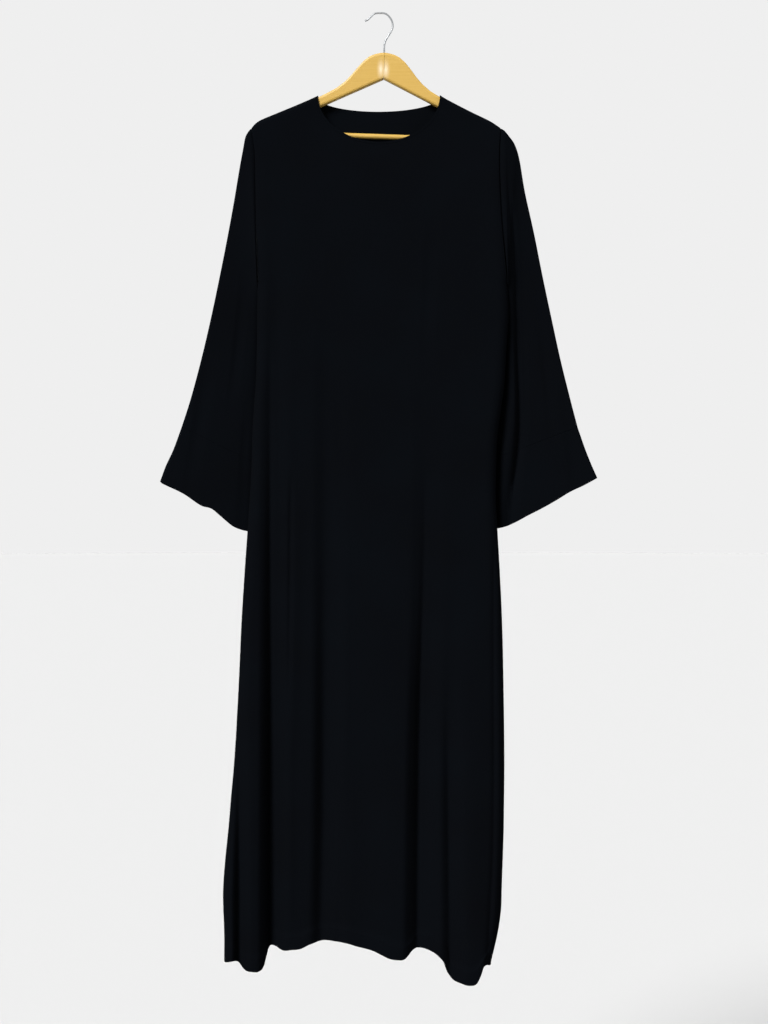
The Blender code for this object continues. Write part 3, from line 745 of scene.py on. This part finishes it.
# A new material's shader, and the sockets of a colour mix: its two colours, and its result
SHADER = "Principled BSDF"
MIX_FIRST, MIX_SECOND, MIX_RESULT = 6, 7, 2


def new_material(name, shader_values):
    """Material with the constant values of its shader."""
    made = bpy.data.materials.new(name)
    made.use_nodes = True
    for socket, value in shader_values.items():
        made.node_tree.nodes[SHADER].inputs[socket].default_value = value
    return made


def add_bump(tree, height, strength, distance):
    """Bump of a height pattern on the shader's normal."""
    bump = add_node(tree, "ShaderNodeBump", inputs={"Strength": strength, "Distance": distance},
                    links={"Height": height})
    tree.links.new(bump.outputs["Normal"], tree.nodes[SHADER].inputs["Normal"])


def woven_crepe():
    """Black polyester crepe, woven from hard-twisted yarn: matt, with a pebbled grain."""
    made = new_material("woven_black_crepe", {
        "Roughness": 0.85,
        "Specular IOR Level": 0.0,
        "Sheen Weight": 0.003,
        "Sheen Roughness": 0.5,
    })
    tree = made.node_tree
    place = add_node(tree, "ShaderNodeTexCoord").outputs["Object"]
    # Yarns are 0.3 mm apart; the grain is drawn at 1.6 mm, as coarse as it needs to show.
    pebble = add_node(tree, "ShaderNodeTexNoise", inputs={
        "Scale": 1 / (1.6 * MM), "Detail": 3.0, "Roughness": 0.6}, links={"Vector": place})
    # Soft unevenness of a hung cloth, a hand's breadth across.
    drift = add_node(tree, "ShaderNodeTexNoise", inputs={
        "Scale": 1 / (110 * MM), "Detail": 2.0}, links={"Vector": place})
    tone = add_node(tree, "ShaderNodeMix", {"data_type": "RGBA"}, {
        MIX_FIRST: linear("090A0D"), MIX_SECOND: linear("0A0D11")},
        {"Factor": drift.outputs["Fac"]})
    tree.links.new(tone.outputs[MIX_RESULT], tree.nodes[SHADER].inputs["Base Color"])
    add_bump(tree, pebble.outputs["Fac"], strength=0.35, distance=0.3 * MM)
    return made


def varnished_beech():
    """Sawn and sanded beech under clear varnish: honey yellow, fine streaks, soft gloss, and a
    painted highlight at the joint.
    """
    made = new_material("varnished_beech", {
        "Roughness": 0.5,
        "IOR": 1.5,
        "Coat Weight": 0.08,
        "Coat Roughness": 0.3,
    })
    tree = made.node_tree
    place = add_node(tree, "ShaderNodeTexCoord").outputs["Object"]
    # Grain runs along the arms: streaks about 2 mm wide and 70 mm long.
    stretched = add_node(tree, "ShaderNodeMapping", inputs={"Scale": STREAKS_PER_METRE},
                         links={"Vector": place})
    grain = add_node(tree, "ShaderNodeTexNoise", inputs={"Scale": 1.0, "Detail": 4.0},
                     links={"Vector": stretched.outputs["Vector"]})
    tone = add_node(tree, "ShaderNodeValToRGB", links={"Fac": grain.outputs["Fac"]})
    for stop, position, colour in zip(
            tone.color_ramp.elements, (0.32, 0.68), ("C79F42", "CEA74D")):
        stop.position = position
        stop.color = linear(colour)
    # Painted highlight: two soft pale patches on the varnish at the joint, fading out 9 mm to either
    # side.
    pale = add_node(tree, "ShaderNodeMath", {"operation": "MAXIMUM"})
    for number, centre in enumerate(JOINT_HIGHLIGHTS):
        about = add_node(tree, "ShaderNodeMapping", {"vector_type": "TEXTURE"}, {
            "Location": Vector(centre) * MM, "Scale": Vector(JOINT_HIGHLIGHT_SIZE) * MM},
            {"Vector": place})
        highlight_spot = add_node(tree, "ShaderNodeTexGradient", {"gradient_type": "QUADRATIC_SPHERE"},
                        links={"Vector": about.outputs["Vector"]})
        tree.links.new(highlight_spot.outputs["Fac"], pale.inputs[number])
    # The pale colour FBE7C4 is the painted highlight, laid over the wood's tone.
    mixed = add_node(tree, "ShaderNodeMix", {"data_type": "RGBA"}, {
        MIX_SECOND: linear("FBE7C4")},
        {"Factor": pale.outputs["Value"], MIX_FIRST: tone.outputs["Color"]})
    tree.links.new(mixed.outputs[MIX_RESULT], tree.nodes[SHADER].inputs["Base Color"])
    add_bump(tree, grain.outputs["Fac"], strength=0.08, distance=0.1 * MM)
    return made


def plated_wire():
    """Drawn steel wire, bright zinc plated: clean grey metal with a soft shine."""
    made = new_material("bright_plated_wire", {
        "Base Color": linear("A2A4A6"),
        "Metallic": 1.0,
    })
    tree = made.node_tree
    place = add_node(tree, "ShaderNodeTexCoord").outputs["Object"]
    # Handling marks about 4 mm across change the shine a little.
    marks = add_node(tree, "ShaderNodeTexNoise", inputs={
        "Scale": 1 / (4 * MM), "Detail": 3.0}, links={"Vector": place})
    shine = add_node(tree, "ShaderNodeMapRange", inputs={"To Min": 0.3, "To Max": 0.34},
                     links={"Value": marks.outputs["Fac"]})
    tree.links.new(shine.outputs["Result"], tree.nodes[SHADER].inputs["Roughness"])
    return made


CREPE = woven_crepe()
BEECH = varnished_beech()
WIRE = plated_wire()


def put_in_scene(name, data):
    """Object with the data, in the scene."""
    made = bpy.data.objects.new(name, data)
    bpy.context.scene.collection.objects.link(made)
    return made


def add_piece(name, data, finish):
    """Piece of the object with its finish, riding on the body."""
    made = put_in_scene(name, data)
    data.materials.append(finish)
    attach(made, BODY)
    return made


def add_cloth(name, rows, closed=False, flipped=False):
    """Cloth shell over rows of outer points, thickened inwards; stands for its node."""
    mesh = bpy.data.meshes.new(name + "_crepe")
    built = bmesh.new()
    grid = [[built.verts.new(point) for point in row] for row in rows]
    width = len(grid[0])
    for upper, lower in zip(grid, grid[1:]):
        for column in range(width if closed else width - 1):
            after = (column + 1) % width
            corners = [upper[column], lower[column], lower[after], upper[after]]
            built.faces.new(reversed(corners) if flipped else corners)
    built.to_mesh(mesh)
    built.free()
    mesh.shade_smooth()
    piece = add_piece(name + "_crepe", mesh, CREPE)
    wall = piece.modifiers.new("wall", "SOLIDIFY")
    wall.thickness = CLOTH * MM
    wall.offset = -1.0
    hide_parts(name)
    return piece


def add_stitches(name, line):
    """Row of lock stitches along a line of points on the cloth, as fine thread."""
    curve = bpy.data.curves.new(name, "CURVE")
    curve.dimensions = "3D"
    curve.bevel_depth = STITCH_RADIUS * MM
    curve.bevel_resolution = 1
    travelled, due = 0.0, STITCH_PITCH
    for here, there in zip(line, line[1:]):
        step = (there - here).length / MM
        while travelled + step >= due:
            middle = here.lerp(there, (due - travelled) / step)
            half = (there - here).normalized() * STITCH / 2 * MM
            spline = curve.splines.new("POLY")
            spline.points.add(1)
            spline.points[0].co = (*(middle - half), 1)
            spline.points[1].co = (*(middle + half), 1)
            due += STITCH_PITCH
        travelled += step
    return add_piece(name, curve, CREPE)


def add_body():
    """Front and back panels with the stitching of their neck and hem."""
    for name, panel in PANELS.items():
        rows = [[panel_point(panel, column, row) for column in COLUMNS] for row in ROWS]
        piece = add_cloth(name, rows, flipped=panel.facing > 0)
        neck_row = Row("top", NECK_STITCH_DOWN, 0.0)
        neck = [panel_point(panel, column, neck_row, STITCH_PROUD) for column in COLUMNS
                if in_neck(column.top_x)]
        hem_row = Row("skirt", between(BAND_START, 1, HEM_STITCH_SHARE), 0.0)
        hem = [panel_point(panel, column, hem_row, STITCH_PROUD) for column in COLUMNS[2:-2]]
        threads = [add_stitches(name + "_neck_stitches", neck),
                   add_stitches(name + "_hem_stitches", hem)]


def seam_allowance(edge, following, turn):
    """Rows of a tube's sewn end: turned in under the cloth before it, then out to the seam."""
    centre = sum(edge, Vector()) / len(edge)
    rows = []
    for down, inset in turn:
        row = []
        for here, there in zip(edge, following):
            run = (there - here).normalized()
            point = here + run * down * MM
            half = abs(point.y - centre.y)
            pinch = 1.0
            if half > FLAT_HALF * MM:
                pinch = max(half - inset * MM, LEAST_HALF * MM) / half
            side = Vector((centre.x - here.x, 0, centre.z - here.z)).normalized()
            near_fold = 1 - min(half / (SHOULDER_HALF_DEPTH * MM), 1)
            point = point + side * inset * near_fold * MM
            point.y = centre.y + (point.y - centre.y) * pinch
            row.append(point)
        rows.append(row)
    return rows


def add_sleeve(side):
    """One sleeve and the cuff band sewn to its end."""
    flipped = side == "left"
    rings = fine_rings(SLEEVE_RINGS[side], RING_PARTS)
    sleeve_rows = tube_points(side, rings, 0.0, armhole_ring(side))
    sleeve_rows[:1] = seam_allowance(*sleeve_rows[:2], ARMHOLE_TURN)
    cuff_rings = fine_rings([SLEEVE_RINGS[side][-1], *CUFF_RINGS[side]], RING_PARTS)[1:]
    cuff_rows = tube_points(side, cuff_rings, 1.0)
    cuff_rows = seam_allowance(sleeve_rows[-1], cuff_rows[0], CUFF_TURN) + cuff_rows
    for name, rows in (("sleeve_" + side, sleeve_rows), ("cuff_" + side, cuff_rows)):
        piece = add_cloth(name, rows, closed=True, flipped=flipped)


def add_hanger():
    """Finishes of the wooden arms and the bar, which keep their own shapes, and a smooth wire hook
    built in place of the model's.
    """
    for name in ("hanger_arm_right", "hanger_arm_left", "hanger_bar"):
        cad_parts[name].data.materials.clear()
        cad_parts[name].data.materials.append(BEECH)
    curve = bpy.data.curves.new("hook_wire", "CURVE")
    curve.dimensions = "3D"
    curve.bevel_depth = WIRE_RADIUS * MM
    curve.bevel_resolution = 6
    curve.use_fill_caps = True
    places = [index / WIRE_PARTS for index in range((len(HOOK_WIRE) - 1) * WIRE_PARTS + 1)]
    runs = [[(index, point[field]) for index, point in enumerate(HOOK_WIRE)] for field in (0, 1)]
    line = [(through(runs[0], place), through(runs[1], place)) for place in places]
    line.append((HOOK_WIRE[-1].x, HOOK_END_DROP))
    spline = curve.splines.new("POLY")
    spline.points.add(len(line) - 1)
    for point, (x, drop) in zip(spline.points, line):
        point.co = (x * MM, 0, -drop * MM, 1)
    spline.use_smooth = True
    hook = add_piece("hook_wire", curve, WIRE)
    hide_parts("hanger_hook")


# Studio, in metres: a pale floor, whose linear grey meets the backdrop's in the picture, an
# even pale backdrop, and an even light all round
FLOOR_DROP = 2.30
FLOOR_GREY = 0.585
BACKDROP = "EFEFEF"
BACKDROP_RADIUS = 60.0
SURROUND_STRENGTH = 0.24
# Camera, level and straight before the garment
CAMERA_PLACE = (0.00513, -3.0, -0.8516)
CAMERA_LENS = 61.68
SENSOR_WIDTH = 36.0
# Soft lights, by the angles that each stands aside of the camera, to its left, and above it:
# a key from the upper left, a weak fill from the right and a fill from behind
Lamp = namedtuple("Lamp", "name aside up spread strength")
LAMPS = [
    Lamp("key", 38, 38, 24, 4.4),
    Lamp("side_fill", -75, 12, 50, 0.9),
    Lamp("back_fill", 155, 30, 60, 2.0),
]


def add_studio():
    """Floor, backdrop, surround light, lamps and camera."""
    mesh = bpy.data.meshes.new("floor")
    half = BACKDROP_RADIUS
    corners = [(-half, -half), (half, -half), (half, half), (-half, half)]
    mesh.from_pydata([(x, y, -FLOOR_DROP) for x, y in corners], [], [(0, 1, 2, 3)])
    mesh.materials.append(new_material("pale_studio_floor", {
        "Base Color": (FLOOR_GREY, FLOOR_GREY, FLOOR_GREY, 1.0),
        "Roughness": 0.95,
        "Specular IOR Level": 0.0,
    }))
    floor = put_in_scene("floor", mesh)
    floor.visible_diffuse = False

    dome = bmesh.new()
    bmesh.ops.create_icosphere(dome, subdivisions=4, radius=BACKDROP_RADIUS)
    dome_mesh = bpy.data.meshes.new("backdrop")
    dome.to_mesh(dome_mesh)
    dome.free()
    dome_mesh.materials.append(new_material("pale_backdrop", {
        "Roughness": 1.0,
        "Specular IOR Level": 0.0,
        "Base Color": (0.0, 0.0, 0.0, 1.0),
        "Emission Color": linear(BACKDROP),
        "Emission Strength": 1.0,
    }))
    backdrop = put_in_scene("backdrop", dome_mesh)
    backdrop.visible_diffuse = False
    backdrop.visible_shadow = False

    world = bpy.data.worlds.new("surround")
    world.use_nodes = True
    surround = world.node_tree.nodes["Background"]
    surround.inputs["Color"].default_value = (1, 1, 1, 1)
    surround.inputs["Strength"].default_value = SURROUND_STRENGTH
    bpy.context.scene.world = world

    for lamp in LAMPS:
        light = bpy.data.lights.new(lamp.name, "SUN")
        light.angle = math.radians(lamp.spread)
        light.energy = lamp.strength
        aside, up = math.radians(lamp.aside), math.radians(lamp.up)
        aim = Vector((math.sin(aside) * math.cos(up), math.cos(aside) * math.cos(up), -math.sin(up)))
        put_in_scene(lamp.name, light).rotation_euler = aim.to_track_quat("-Z", "Y").to_euler()

    camera = bpy.data.cameras.new("camera")
    camera.lens = CAMERA_LENS
    camera.sensor_width = SENSOR_WIDTH
    eye = put_in_scene("camera", camera)
    eye.location = CAMERA_PLACE
    eye.rotation_euler = (math.radians(90), 0, 0)
    bpy.context.scene.camera = eye
    bpy.context.scene.view_settings.view_transform = "Standard"


add_body()
for sleeve_side in ("right", "left"):
    add_sleeve(sleeve_side)
add_hanger()
add_studio()
